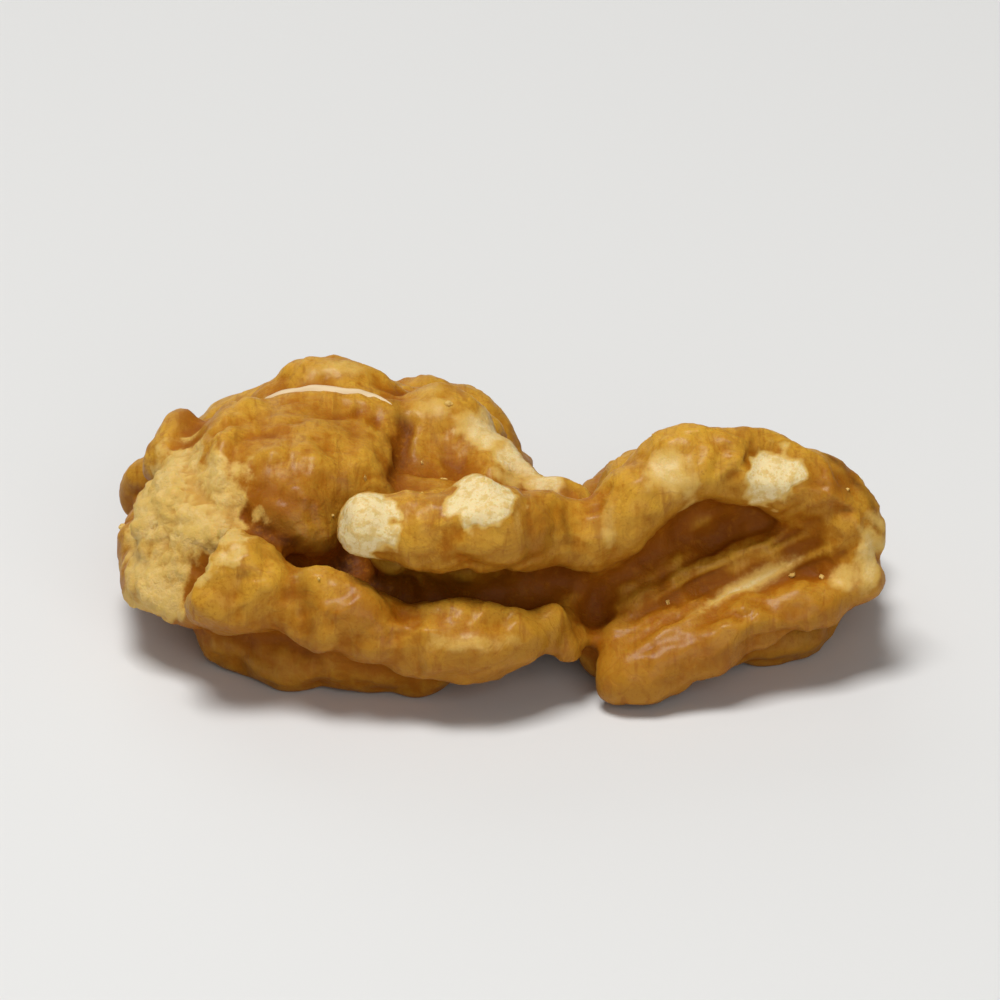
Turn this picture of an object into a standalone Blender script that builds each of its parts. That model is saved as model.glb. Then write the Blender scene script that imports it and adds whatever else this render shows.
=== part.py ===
"""One shelled walnut half, as cracked: a single kernel, lying on its inner face with its wrinkled side up.

Metres, +Z up. X runs across the two lobes, from the broken left lobe to the folded right wing.
Y runs along the furrow between the lobes, away from the front. The origin is on the surface that
the kernel rests on, below the middle of its box.
"""

import bmesh
import bpy
import numpy as np
from mathutils import Matrix, Vector, noise

MM = 0.001

# Driving sizes, in millimetres. The folds below are drawn in the same unit.
BALL_SPACING = 0.35
KNOB_LENGTH = 1.9
KNOB_SHARE = 0.16
WANDER_LENGTH = 3.2
WANDER = 0.55
CLAY_VOXEL = 0.30
SKIN_VOXEL = 0.40
CREASE_LENGTH = 2.7
CREASE_DEPTH = 0.65
FOOT_PLANE = 0.42
TRIANGLES = 11300

# Each fold of the kernel is a round roll. Its spine is a list of (x, y, z, radius).
LEFT_FOLDS = {
    "dome": [(-8.6, 0.6, 6.7, 3.3), (-8.8, -0.9, 7.0, 3.8), (-9.0, -2.4, 7.1, 3.5), (-9.4, -4.0, 7.2, 2.4)],
    "dome_side": [(-6.6, -0.2, 7.2, 2.5), (-6.9, -2.4, 7.5, 2.4)],
    "dome_cheek": [(-11.2, 0.8, 7.5, 2.5), (-11.6, -1.2, 7.7, 2.5), (-11.9, -3.0, 7.0, 2.1)],
    "shoulder": [(-13.0, 1.2, 6.8, 2.2), (-13.7, -1.4, 6.8, 2.2), (-14.2, -3.4, 6.2, 2.2), (-13.6, -5.2, 5.6, 2.2)],
    "shoulder_knob": [(-14.2, 1.8, 7.9, 1.4), (-14.5, 1.0, 7.5, 1.4)],
    "second_bump": [(-0.3, -1.4, 6.1, 1.7), (-1.4, 1.2, 6.9, 2.1), (-3.3, 2.7, 7.4, 2.4), (-4.6, 2.4, 7.4, 1.9)],
    "bump_front": [(-5.2, -2.4, 6.3, 1.6), (-3.6, -2.2, 6.4, 1.8), (-1.6, -2.4, 6.2, 1.7)],
    "thin_edge": [(-1.2, 1.0, 8.0, 1.1), (0.3, -0.2, 7.3, 0.9), (1.4, -1.2, 6.6, 0.85), (2.2, -2.6, 6.0, 0.8)],
    "small_knob": [(2.4, -1.3, 6.9, 0.9), (3.0, -1.6, 6.7, 0.9)],
    "crown": [(-5.8, 4.5, 8.0, 1.7), (-7.5, 4.8, 8.6, 2.2), (-9.6, 4.4, 7.7, 1.9), (-12.2, 3.7, 6.5, 1.8),
              (-14.4, 4.2, 5.1, 1.7), (-15.6, 4.4, 3.6, 1.5)],
    "third_fold": [(-1.7, 5.4, 5.9, 1.6), (-3.1, 6.8, 6.2, 1.8), (-5.2, 7.2, 6.4, 1.7), (-6.6, 8.7, 6.1, 1.6)],
    "third_side": [(-7.6, 6.9, 6.7, 1.6), (-9.4, 7.7, 6.4, 1.8), (-11.4, 7.0, 5.6, 1.7), (-13.2, 7.4, 4.5, 1.7),
                   (-14.5, 7.6, 3.2, 1.5)],
    "fourth_fold": [(-1.3, 9.2, 4.3, 1.6), (-3.0, 10.4, 4.8, 1.8), (-4.9, 11.3, 4.7, 1.6), (-6.2, 12.9, 3.9, 1.6)],
    "fourth_side": [(-5.0, 9.9, 5.1, 1.3), (-7.2, 10.9, 5.0, 1.7), (-8.9, 10.6, 4.9, 1.7), (-10.6, 9.6, 4.6, 1.6),
                    (-12.3, 9.8, 3.6, 1.6), (-13.0, 10.6, 2.5, 1.4)],
    "fifth_fold": [(-2.2, 12.7, 3.0, 1.6), (-3.8, 13.7, 3.1, 1.6)],
    "fifth_side": [(-7.4, 12.7, 4.1, 1.6), (-8.4, 13.9, 3.1, 1.6)],
    "sixth_side": [(-9.8, 11.4, 3.9, 1.5), (-11.4, 12.4, 2.8, 1.5)],
    "first_link": [(-4.2, 4.6, 6.9, 1.3), (-3.6, 6.4, 6.3, 1.3)],
    "second_link": [(-10.6, 5.0, 6.6, 1.2), (-11.0, 6.8, 5.7, 1.2)],
    "rim_front": [(1.9, -9.0, 4.3, 1.0), (0.4, -9.6, 4.0, 1.5), (-2.0, -9.9, 4.0, 2.0), (-4.8, -9.6, 4.2, 1.6),
                  (-7.5, -9.3, 5.2, 2.0), (-9.4, -8.4, 5.2, 1.7), (-11.6, -8.0, 5.9, 2.4), (-13.4, -6.4, 5.0, 2.0)],
    "rim_side": [(-13.4, -6.4, 5.0, 2.0), (-15.1, -3.4, 3.9, 1.8), (-15.5, 0.2, 3.7, 1.7), (-14.7, 4.2, 3.0, 1.5),
                 (-12.9, 8.0, 2.8, 1.5)],
    "rim_back": [(-12.9, 8.0, 2.8, 1.5), (-10.4, 11.2, 2.6, 1.5), (-6.8, 13.5, 2.5, 1.6), (-2.9, 13.2, 2.4, 1.6),
                 (-0.5, 11.2, 2.4, 1.5), (-0.1, 8.0, 2.9, 1.5), (0.1, 4.6, 3.4, 1.5)],
    "inner_ring": [(-1.6, -6.4, 2.4, 1.7), (-4.4, -7.4, 2.1, 1.9), (-7.6, -7.0, 2.4, 2.0), (-10.4, -6.0, 1.9, 1.9),
                   (-12.4, -3.2, 2.3, 2.0), (-13.4, 0.2, 2.2, 1.7), (-13.2, 4.0, 1.9, 1.9), (-11.6, 7.6, 2.3, 1.8),
                   (-9.0, 10.6, 1.9, 2.0), (-5.4, 12.0, 2.1, 1.8), (-2.4, 10.6, 1.9, 1.8), (-1.4, 7.2, 2.4, 1.6),
                   (-0.8, 3.6, 2.7, 1.5), (0.2, -0.2, 2.9, 1.5)],
    "inner_fold": [(-2.4, -2.8, 3.0, 1.7), (-4.8, -0.6, 2.6, 1.6), (-6.2, 2.4, 2.9, 1.5), (-7.6, 5.0, 2.7, 1.6),
                   (-7.4, 7.8, 3.1, 1.4)],
    "inner_branch": [(-8.4, -3.8, 2.8, 1.5), (-10.2, -0.8, 2.8, 1.5), (-10.1, 2.2, 3.1, 1.3)],
}
RIGHT_FOLDS = {
    "ridge": [(-5.9, -8.6, 9.05, 1.6), (-3.5, -8.8, 8.8, 1.7), (-0.9, -8.4, 9.0, 2.1), (2.0, -7.2, 7.9, 1.5),
              (4.3, -6.5, 7.7, 1.8), (6.3, -5.5, 9.1, 1.75), (8.3, -5.0, 10.2, 1.9), (10.4, -4.8, 10.1, 1.75),
              (12.2, -4.6, 9.3, 1.75), (14.0, -4.5, 8.5, 1.6), (15.4, -4.8, 6.8, 1.45), (15.7, -5.5, 5.1, 1.2)],
    "wing_wall": [(6.4, -3.6, 6.6, 1.7), (9.6, -3.0, 7.4, 1.7), (12.8, -3.0, 7.0, 1.7), (14.2, -3.6, 4.6, 1.7)],
    "wing_lip": [(15.7, -5.5, 5.1, 1.2), (14.2, -6.3, 4.3, 1.2), (12.0, -7.2, 4.1, 1.35), (9.4, -8.1, 3.3, 1.45),
                 (7.0, -8.9, 2.4, 1.5), (5.2, -9.2, 1.9, 1.3)],
    "upper_pleat": [(14.2, -4.8, 6.0, 0.7), (11.2, -5.0, 5.7, 0.8), (8.0, -5.6, 5.0, 0.9), (5.2, -6.4, 4.2, 0.9)],
    "lower_pleat": [(13.6, -5.6, 4.6, 0.7), (10.6, -6.4, 4.3, 0.8), (7.4, -7.3, 3.6, 0.9), (4.8, -7.9, 3.0, 0.9)],
    "second_fold": [(5.6, -2.8, 6.0, 1.5), (6.9, -1.0, 5.9, 1.6), (8.2, -0.4, 6.6, 1.7), (9.6, 1.0, 6.2, 1.6)],
    "second_side": [(10.0, -1.6, 7.1, 1.7), (11.9, -0.7, 6.4, 1.7), (13.5, -1.3, 6.0, 1.7), (14.9, -0.7, 4.7, 1.5),
                    (15.6, -0.6, 3.2, 1.3)],
    "third_fold": [(5.2, 0.8, 4.3, 1.4), (6.2, 2.5, 5.2, 1.7), (8.1, 3.2, 5.4, 1.7), (9.3, 4.8, 4.7, 1.6)],
    "third_side": [(10.6, 2.7, 5.5, 1.6), (12.3, 2.0, 5.2, 1.7), (14.0, 2.8, 4.2, 1.7), (15.2, 2.6, 3.0, 1.4)],
    "fourth_fold": [(5.8, 5.0, 2.9, 1.4), (7.1, 6.3, 3.9, 1.6), (8.4, 7.8, 3.4, 1.6)],
    "fourth_side": [(10.2, 6.6, 4.0, 1.7), (11.9, 5.6, 3.8, 1.6), (13.8, 6.1, 2.6, 1.6)],
    "fifth_fold": [(6.8, 8.6, 2.6, 1.4), (9.8, 9.0, 2.8, 1.6), (11.6, 8.3, 2.6, 1.5)],
    "link": [(11.4, 0.0, 5.8, 1.1), (11.5, 2.0, 5.2, 1.1)],
    "rim": [(15.3, -3.2, 3.8, 1.5), (15.3, 0.4, 2.9, 1.4), (14.8, 4.0, 2.3, 1.4), (12.3, 7.6, 2.0, 1.4),
            (9.4, 9.4, 2.0, 1.5), (6.2, 9.0, 2.0, 1.4), (4.6, 6.4, 1.9, 1.4), (4.0, 2.8, 2.9, 1.4)],
    "inner_ring": [(4.8, -6.4, 2.1, 1.6), (7.6, -6.4, 2.1, 1.7), (10.6, -5.4, 2.1, 1.7), (12.9, -3.6, 1.8, 1.7),
                   (13.9, -0.4, 2.2, 1.6), (13.4, 3.0, 1.9, 1.6), (11.6, 6.0, 1.9, 1.7), (8.8, 7.6, 1.8, 1.6),
                   (6.4, 6.2, 2.1, 1.5), (5.6, 2.8, 2.4, 1.4), (5.0, -0.6, 2.7, 1.5)],
    "inner_fold": [(6.4, -3.4, 2.9, 1.4), (8.6, -1.6, 2.7, 1.5), (9.4, 1.2, 2.9, 1.4), (10.8, 3.6, 2.8, 1.3)],
}
BRIDGE_FOLDS = {
    "bridge": [(-3.0, -3.8, 5.3, 2.9), (1.4, -4.2, 5.0, 2.6), (5.6, -3.8, 4.9, 2.5)],
    "ridge_root": [(-4.6, -6.0, 6.4, 1.5), (-1.0, -5.9, 6.4, 1.7), (2.4, -5.2, 6.4, 1.7), (5.6, -4.6, 6.4, 1.7)],
    "bridge_foot": [(-2.6, -5.4, 3.5, 2.0), (0.8, -5.6, 3.4, 2.0), (4.6, -4.6, 3.4, 1.8)],
    "bridge_root": [(2.0, -3.0, 4.4, 2.1), (2.4, -0.6, 3.8, 1.5)],
    "germ": [(2.2, -5.0, 3.6, 1.7), (2.5, -7.4, 3.3, 1.2), (2.8, -8.8, 3.2, 0.8)],
}
# The flesh under the folds: (centre, half sizes).
CORES = [
    ((-7.4, 1.6, 4.2), (6.8, 9.6, 1.6)),
    ((9.6, 0.6, 3.8), (5.4, 7.0, 1.3)),
]
# Places where the nut is broken or rubbed flat: (a point on the flat, its outward direction, reach).
FLATS = [
    ((-14.8, -5.2, 6.4), (-0.50, -0.72, 0.48), 3.4),
    ((-7.2, -8.9, 8.9), (-0.86, -0.45, 0.25), 1.8),
    ((-0.8, -9.9, 10.5), (0.10, -0.62, 0.78), 1.7),
    ((11.9, -5.6, 10.3), (0.20, -0.55, 0.81), 1.3),
]


def smooth_spine(knots):
    """Points along a smooth curve through the knots, closer together than the roll is thick."""
    knots = [Vector(knot) for knot in knots]
    padded = [2 * knots[0] - knots[1], *knots, 2 * knots[-1] - knots[-2]]
    points = []
    for before, start, end, after in zip(padded, padded[1:], padded[2:], padded[3:]):
        gap = (end - start).to_3d().length
        steps = max(1, round(gap / (BALL_SPACING * min(start.w, end.w))))
        for step in range(steps):
            t = step / steps
            points.append(
                0.5
                * (
                    2 * start
                    + (end - before) * t
                    + (2 * before - 5 * start + 4 * end - after) * t**2
                    + (3 * start - before - 3 * end + after) * t**3
                )
            )
    return [*points, knots[-1]]


def add_roll(clay, knots):
    """A round roll of overlapping balls. It swells and thins along its way, and behind the front it wanders."""
    for ball in smooth_spine(knots):
        centre = ball.to_3d()
        swell = 1 + KNOB_SHARE * noise.noise(centre / KNOB_LENGTH)
        astray = WANDER * min(1, max(0, (centre.y + 1) / 5))
        centre += astray * noise.noise_vector(centre / WANDER_LENGTH)
        place = Matrix.Translation(centre * MM)
        bmesh.ops.create_icosphere(clay, subdivisions=2, radius=ball.w * swell * MM, matrix=place)


def add_core(clay, centre, half_sizes):
    """A flattened ball that fills a lobe under its folds."""
    place = Matrix.Translation(Vector(centre) * MM) @ Matrix.Diagonal((*half_sizes, 1))
    bmesh.ops.create_icosphere(clay, subdivisions=4, radius=MM, matrix=place)


def modelled_lumps():
    """All the rolls and cores in one mesh, still as separate overlapping lumps."""
    clay = bmesh.new()
    for folds in (LEFT_FOLDS, RIGHT_FOLDS, BRIDGE_FOLDS):
        for knots in folds.values():
            add_roll(clay, knots)
    for core in CORES:
        add_core(clay, *core)
    mesh = bpy.data.meshes.new("lumps")
    clay.to_mesh(mesh)
    clay.free()
    return mesh


def apply_modifiers(kernel):
    bpy.context.view_layer.update()
    graph = bpy.context.evaluated_depsgraph_get()
    kernel.data = bpy.data.meshes.new_from_object(kernel.evaluated_get(graph))
    kernel.modifiers.clear()


def one_skin(kernel, voxel, passes):
    """Joins whatever the kernel's mesh holds under one even skin, and softens its creases."""
    remesh = kernel.modifiers.new("one skin", "REMESH")
    remesh.mode = "VOXEL"
    remesh.voxel_size = voxel * MM
    soften = kernel.modifiers.new("soften", "SMOOTH")
    soften.factor = 0.5
    soften.iterations = passes
    apply_modifiers(kernel)


def read_points(mesh):
    points = np.empty(len(mesh.vertices) * 3)
    mesh.vertices.foreach_get("co", points)
    return points.reshape(-1, 3) / MM


def write_points(mesh, points):
    mesh.vertices.foreach_set("co", (points * MM).ravel())
    mesh.update()


def press_flats(kernel):
    """Moves the skin beyond each broken or rubbed place back onto its plane."""
    points = read_points(kernel.data)
    for place, outward, reach in FLATS:
        outward = np.array(outward) / np.linalg.norm(outward)
        offset = points - np.array(place)
        height = offset @ outward
        aside = np.linalg.norm(offset - np.outer(height, outward), axis=1)
        beyond = (height > 0) & (height < reach) & (aside < reach)
        points[beyond] -= np.outer(height[beyond], outward)
    write_points(kernel.data, points)


def crease(kernel):
    """Fine creases over the folds: the skin swells everywhere but along the lines where the noise is zero."""
    points = read_points(kernel.data)
    normals = np.empty(len(kernel.data.vertices) * 3)
    kernel.data.vertex_normals.foreach_get("vector", normals)
    lift = [abs(noise.noise(Vector(point) / CREASE_LENGTH)) - 0.2 for point in points]
    write_points(kernel.data, points + CREASE_DEPTH * np.array(lift)[:, None] * normals.reshape(-1, 3))


def thin_out(kernel):
    """Keeps the triangles where the shape turns, and drops them where it is smooth."""
    faces = sum(len(face.vertices) - 2 for face in kernel.data.polygons)
    thinner = kernel.modifiers.new("thin out", "DECIMATE")
    thinner.ratio = TRIANGLES / faces
    apply_modifiers(kernel)


def plane_feet(kernel):
    """Cuts the lowest bulges off flat, and sets the cut on the ground and the box's middle on the origin."""
    points = read_points(kernel.data)
    low, high = points.min(axis=0), points.max(axis=0)
    middle = (low + high) / 2
    write_points(kernel.data, points - (middle[0], middle[1], low[2] + FOOT_PLANE))
    shape = bmesh.new()
    shape.from_mesh(kernel.data)
    bmesh.ops.bisect_plane(
        shape,
        geom=[*shape.verts, *shape.edges, *shape.faces],
        plane_co=(0, 0, 0),
        plane_no=(0, 0, -1),
        clear_outer=True,
    )
    rims = [edge for edge in shape.edges if edge.is_boundary]
    bmesh.ops.holes_fill(shape, edges=rims)
    bmesh.ops.triangulate(shape, faces=shape.faces)
    shape.to_mesh(kernel.data)
    shape.free()


def skin_material():
    material = bpy.data.materials.new("walnut skin")
    material.use_nodes = True
    surface = material.node_tree.nodes["Principled BSDF"]
    surface.inputs["Base Color"].default_value = (0.42, 0.20, 0.06, 1)
    surface.inputs["Roughness"].default_value = 0.45
    surface.inputs["Metallic"].default_value = 0.0
    return material


def build():
    for obj in list(bpy.data.objects):
        bpy.data.objects.remove(obj)
    collection = bpy.data.collections.new("walnut_half")
    bpy.context.scene.collection.children.link(collection)
    kernel = bpy.data.objects.new("kernel", modelled_lumps())
    collection.objects.link(kernel)
    one_skin(kernel, CLAY_VOXEL, passes=2)
    press_flats(kernel)
    crease(kernel)
    one_skin(kernel, SKIN_VOXEL, passes=1)
    thin_out(kernel)
    plane_feet(kernel)
    kernel.data.materials.append(skin_material())
    kernel.data.shade_smooth()


build()
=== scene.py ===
# %% [markdown]
# This lesson dresses the plain solid of a walnut half as the real nut: a kernel that grew as one
# piece, wrinkled like a brain, in a thin oily skin that is rubbed off on its highest places.
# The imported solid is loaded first. It says where everything is, so nothing is placed by eye.

# %% load the solid that everything is fitted to
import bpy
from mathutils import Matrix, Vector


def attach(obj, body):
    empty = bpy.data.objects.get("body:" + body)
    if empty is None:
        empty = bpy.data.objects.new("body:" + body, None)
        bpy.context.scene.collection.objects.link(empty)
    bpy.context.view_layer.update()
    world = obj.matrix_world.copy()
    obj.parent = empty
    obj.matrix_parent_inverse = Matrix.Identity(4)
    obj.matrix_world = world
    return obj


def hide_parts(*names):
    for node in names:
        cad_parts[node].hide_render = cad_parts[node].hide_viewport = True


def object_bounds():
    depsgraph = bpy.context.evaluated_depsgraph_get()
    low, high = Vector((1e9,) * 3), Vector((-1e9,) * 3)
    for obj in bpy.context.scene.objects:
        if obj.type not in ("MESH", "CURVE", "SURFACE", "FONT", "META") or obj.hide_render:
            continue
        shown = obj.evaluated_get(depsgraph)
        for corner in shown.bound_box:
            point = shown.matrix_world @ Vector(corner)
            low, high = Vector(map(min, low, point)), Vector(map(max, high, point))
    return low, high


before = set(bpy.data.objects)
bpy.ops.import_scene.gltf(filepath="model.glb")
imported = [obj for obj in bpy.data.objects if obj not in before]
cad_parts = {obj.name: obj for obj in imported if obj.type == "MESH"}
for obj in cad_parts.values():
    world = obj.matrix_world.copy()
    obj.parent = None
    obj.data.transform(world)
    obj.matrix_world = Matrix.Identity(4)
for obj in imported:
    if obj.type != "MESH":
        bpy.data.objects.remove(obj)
cad_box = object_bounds()
print("solid's box, mm:", [[round(1000 * side, 2) for side in corner] for corner in cad_box])

# %% tools of the lesson
import math

import bmesh
import bpy
import numpy as np
from mathutils import Vector, noise
from mathutils.bvhtree import BVHTree

MM = 0.001  # Blender counts in metres, and a nut is easier to think of in millimetres

# %% [markdown]
# The solid is made of about eleven thousand flat triangles, and a kernel has no facets. Its faces
# could be subdivided, but that keeps their pattern. A voxel remesh lays a new even net of small
# squares over the same form, fine enough to carry wrinkles a third of a millimetre wide.

# %% a finer clay of the same form
CLAY_NET = 0.183  # mm between two points of the net
SAME_PLACE = 1e-7  # m, corners of the solid nearer than this are one point


def finished(piece):
    """The piece's mesh with its modifiers worked in, and the modifiers gone."""
    graph = bpy.context.evaluated_depsgraph_get()
    done = bpy.data.meshes.new_from_object(piece.evaluated_get(graph))
    piece.modifiers.clear()
    piece.data = done
    return done


def new_piece(name, mesh):
    piece = bpy.data.objects.new(name, mesh)
    bpy.context.scene.collection.objects.link(piece)
    return piece


clay = bmesh.new()
clay.from_mesh(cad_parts["kernel"].data)
bmesh.ops.remove_doubles(clay, verts=clay.verts, dist=SAME_PLACE)
walnut_mesh = bpy.data.meshes.new("walnut_half")
clay.to_mesh(walnut_mesh)
clay.free()
walnut = new_piece("walnut_half", walnut_mesh)

net = walnut.modifiers.new("net", "REMESH")
net.mode = "VOXEL"
net.voxel_size = CLAY_NET * MM
net.adaptivity = 0.0
walnut_mesh = finished(walnut)
walnut_mesh.name = "walnut_half"
print("points in the net:", len(walnut_mesh.vertices))

# %% [markdown]
# Points are now moved with numpy, as a sculptor's brushes would: each brush is a few lines that
# can be run again with another strength. The first one blends every point with its neighbours.
# Blending alone shrinks a form, so each soft step is followed by a slightly stronger step back,
# which takes the facets away and leaves the folds as plump as they were.

# %% the smoothing brush
FACET_ROUNDS = 20
edges = np.empty(len(walnut_mesh.edges) * 2, np.int32)
walnut_mesh.edges.foreach_get("vertices", edges)
edges = edges.reshape(-1, 2)
neighbours = np.maximum(np.bincount(edges.ravel(), minlength=len(walnut_mesh.vertices)), 1)


def around(values):
    """Each point's mean of its neighbours, for one column of numbers or for three."""
    if values.ndim == 2:
        return np.stack([around(column) for column in values.T], axis=1)
    first, second = edges.T
    total = np.bincount(first, values[second], len(values))
    total += np.bincount(second, values[first], len(values))
    return total / neighbours


def blended(values, rounds, share=0.5):
    """The values after this many steps of this share of the way to their neighbours' mean."""
    for _ in range(rounds):
        values = values + share * (around(values) - values)
    return values


def rounds_for(width, share=0.5):
    """How many rounds of blending reach about this far, in mm."""
    return max(1, round(2 * width**2 / (share * CLAY_NET**2)))


def polished(points, rounds, soft=0.5, back=-0.53):
    """Smoother points in a form that keeps its size: a soft step and a step back, many times."""
    for _ in range(rounds):
        points = blended(points, 1, soft)
        points = blended(points, 1, back)
    return points


def read_points(mesh):
    """The mesh's points in mm, one row for each."""
    flat = np.empty(len(mesh.vertices) * 3)
    mesh.vertices.foreach_get("co", flat)
    return flat.reshape(-1, 3) / MM


def write_points(mesh, points):
    mesh.vertices.foreach_set("co", (points * MM).ravel())
    mesh.update()


def outward(mesh, points):
    """Each point's direction away from the kernel, once the mesh holds these points."""
    write_points(mesh, points)
    flat = np.empty(len(mesh.vertices) * 3)
    mesh.vertices.foreach_get("normal", flat)
    return flat.reshape(-1, 3)


raw = read_points(walnut_mesh)
points = polished(raw, FACET_ROUNDS)
print("facets moved by up to", round(float(np.abs(points - raw).max()), 2), "mm")

# %% [markdown]
# On a real half the folds are round and full, and they meet in narrow, almost closed creases. The
# solid's creases are a little too wide and shallow for that. Pushing each point further from the
# blended form, as an unsharp mask does with a picture, fills the folds and cuts the creases.

# %% fuller folds, sharper creases
FOLD_WIDTH = 0.75  # mm
FOLD_GAIN = 0.55
MOST_CUT = 0.28  # mm, so that nothing is pushed through a thin edge
MOST_RAISED = MOST_CUT * 0.6
GAIN_ROUNDS = 3  # of blending, so that the step itself is smooth


def step_along(points, normals, amount):
    """The points moved outwards by these amounts in mm, one for each."""
    return points + normals * np.asarray(amount)[:, None]


normals = outward(walnut_mesh, points)
height = ((points - blended(points, rounds_for(FOLD_WIDTH))) * normals).sum(axis=1)
gain = np.clip(FOLD_GAIN * height, -MOST_CUT, MOST_RAISED)
points = step_along(points, normals, blended(gain, GAIN_ROUNDS))
print("folds raised by", round(float(gain.max()), 2), "mm")
print("creases cut by", round(float(-gain.min()), 2), "mm")

# %% [markdown]
# The marks on the front are placed as the photograph shows them. A place in the picture is given
# in millimetres, to the right and up, and a ray along the photograph's view finds where it is
# on the kernel, so a mark always lies on the surface whatever the fold under it does.

# %% find a mark's place along the photograph's view
ELEVATION = math.radians(27)
INTO = np.array((0, math.cos(ELEVATION), -math.sin(ELEVATION)))
UP = np.array((0, math.sin(ELEVATION), math.cos(ELEVATION)))
RIGHT = np.array((1.0, 0.0, 0.0))
FAR, IN_FRONT = 100, 5  # mm: where a ray starts, and where to look from when it misses


def faces_of(mesh):
    """The mesh's faces as a tree that rays can be sent to."""
    surface = bmesh.new()
    surface.from_mesh(mesh)
    tree = BVHTree.FromBMesh(surface)
    surface.free()
    return tree


skin_faces = faces_of(walnut_mesh)


def seen_at(right, up):
    """The point of the kernel at this place of the picture, or the nearest one beside it."""
    middle = right * RIGHT + up * UP
    place = skin_faces.ray_cast(Vector((middle - FAR * INTO) * MM), Vector(INTO))[0]
    if place is None:
        place = skin_faces.find_nearest(Vector((middle - IN_FRONT * INTO) * MM))[0]
    return np.array(place) / MM


normals = outward(walnut_mesh, points)
picture_right, picture_up = points @ RIGHT, points @ UP
towards_us = -(normals @ INTO)
print("in the middle of the picture the kernel is at", seen_at(0, 0).round(2), "mm")

# %% [markdown]
# The dome is the large barrel-shaped fold on the left. In two pits to its right and in the valley
# above it, the solid is a little deeper than the photograph. Blending only the points inside a
# ring, many times, stretches a film across a pit, as a soap bubble would. Two rough places of the
# wing are softened in the same way.

# %% stretch films over the pits
PITS = [  # right and up in the picture and half width, in mm: two pits, then the valley
    (-3.2, 5.9, 1.9),
    (-3.7, 7.5, 1.5),
    (-9.4, 8.15, 1.7),
    (-8.2, 7.9, 2.1),
    (-6.9, 7.8, 2.3),
    (-5.7, 7.75, 2.0),
]
FILM_ROUNDS, SETTLING_ROUNDS = 370, 8
FULL_FILM = 0.12  # mm: where a film lies this high or higher, it is laid down in full
SOFTENED = [  # right, up and half width in mm, and rounds of blending
    (14.2, 2.5, 2.0, 50),
    (13.2, 4.9, 1.3, 12),
]


def eased(value, low, high):
    """0 below low, 1 above high, with a soft step between; low may be the higher one."""
    t = np.clip((value - low) / (high - low), 0, 1)
    return t * t * (3 - 2 * t)


def ball(right, up, half_width):
    """1 around this place of the picture, 0 further away."""
    away = np.linalg.norm(points - seen_at(right, up), axis=1)
    return eased(away, half_width, 0.8 * half_width)[:, None]


def stretched_film(points, mask, rounds):
    """The points after this many rounds of blending where the mask is 1."""
    film = points.copy()
    for _ in range(rounds):
        film += mask * (around(film) - film)
    return film


def filled(points, table, rounds):
    """The points with a film over these pits. A film only fills, it never cuts a fold."""
    mask = np.max([ball(*row) for row in table], axis=0)
    step = stretched_film(points, mask, rounds) - points
    outwards = (step * outward(walnut_mesh, points)).sum(axis=1)[:, None]
    print("pits filled by up to", round(float(outwards.max()), 2), "mm")
    laid_down = points + eased(outwards, 0.0, FULL_FILM) * step
    return stretched_film(laid_down, mask, SETTLING_ROUNDS)


points = filled(points, PITS, FILM_ROUNDS)
for right, up, half_width, rounds in SOFTENED:
    points = stretched_film(points, ball(right, up, half_width), rounds)
write_points(walnut_mesh, points)
skin_faces = faces_of(walnut_mesh)
picture_right, picture_up = points @ RIGHT, points @ UP
print("softened places:", len(SOFTENED))

# %% [markdown]
# The solid leaves out a few creases and crests. They are pressed in and raised along ways that
# are drawn in the picture and laid on the kernel. The skin above the dome runs on up to the
# dome's raised edge, so a last film smooths the step between them: the brow.

# %% press the creases and raise the crests
CREASES = {  # way through the picture, half width and depth, all in mm
    "dome and bump": ([(-4.5, 8.7), (-4.2, 7.6), (-4.3, 6.0), (-4.7, 4.8)], 0.34, 0.40),
    "dome's seam": ([(-11.2, 8.0), (-11.6, 6.2), (-12.1, 4.6)], 0.40, 0.16),
    "dome's wrinkle": ([(-9.2, 8.0), (-9.5, 6.6), (-8.7, 5.4), (-9.1, 4.2)], 0.30, 0.10),
    "first rim valley": ([(-9.2, 1.2), (-8.8, -0.6), (-8.5, -2.8)], 0.60, 0.42),
    "second rim valley": ([(-4.4, 0.2), (-4.1, -2.0)], 0.50, 0.30),
    "ridge's first dip": ([(1.2, 4.6), (1.5, 2.7), (1.3, 0.8)], 0.55, 0.30),
    "ridge's second dip": ([(3.3, 4.4), (3.3, 2.4)], 0.45, 0.14),
    "ridge's third dip": ([(13.7, 6.3), (14.0, 5.2), (13.6, 4.2)], 0.65, 0.16),
    "wing's end": ([(14.5, 5.7), (15.6, 4.5), (16.2, 3.4)], 0.26, 0.12),
}
DOME_EDGE = [
    (-11.6, 7.9), (-10.6, 8.35), (-9.2, 8.4), (-7.4, 8.3), (-5.8, 8.15), (-4.7, 7.8), (-4.1, 7.2),
]
LIP = [(6.2, -2.2), (8.6, -1.0), (10.2, -0.1), (11.6, 0.6), (13.2, 1.4), (14.6, 1.9)]
CRESTS = {  # way through the picture, half width and height, all in mm
    "dome's edge": (DOME_EDGE, 0.8, 0.62),
    "lip": (LIP, 0.40, 0.30),
    "upper rib": ([(6.0, -0.6), (8.4, 0.5), (10.8, 1.6), (13.2, 2.6)], 0.32, 0.16),
    "lower rib": ([(6.4, -1.5), (8.8, -0.35), (11.0, 0.75)], 0.30, 0.14),
}
LIP_HIGHLIGHT_WIDTH = 0.52  # mm, half of it
BROW_MIDDLE, BROW_UP, BROW_SLOPE, BROW_WIDTH = -7.5, 7.85, 0.08, 1.25
BROW = [  # right and up in the picture and half width, in mm
    (right, BROW_UP + BROW_SLOPE * (BROW_MIDDLE - right), BROW_WIDTH)
    for right in (-9.8, -8.8, -7.8, -6.8, -5.9, -5.2)
]
BROW_ROUNDS, CREST_ROUNDS = 132, 5
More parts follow.
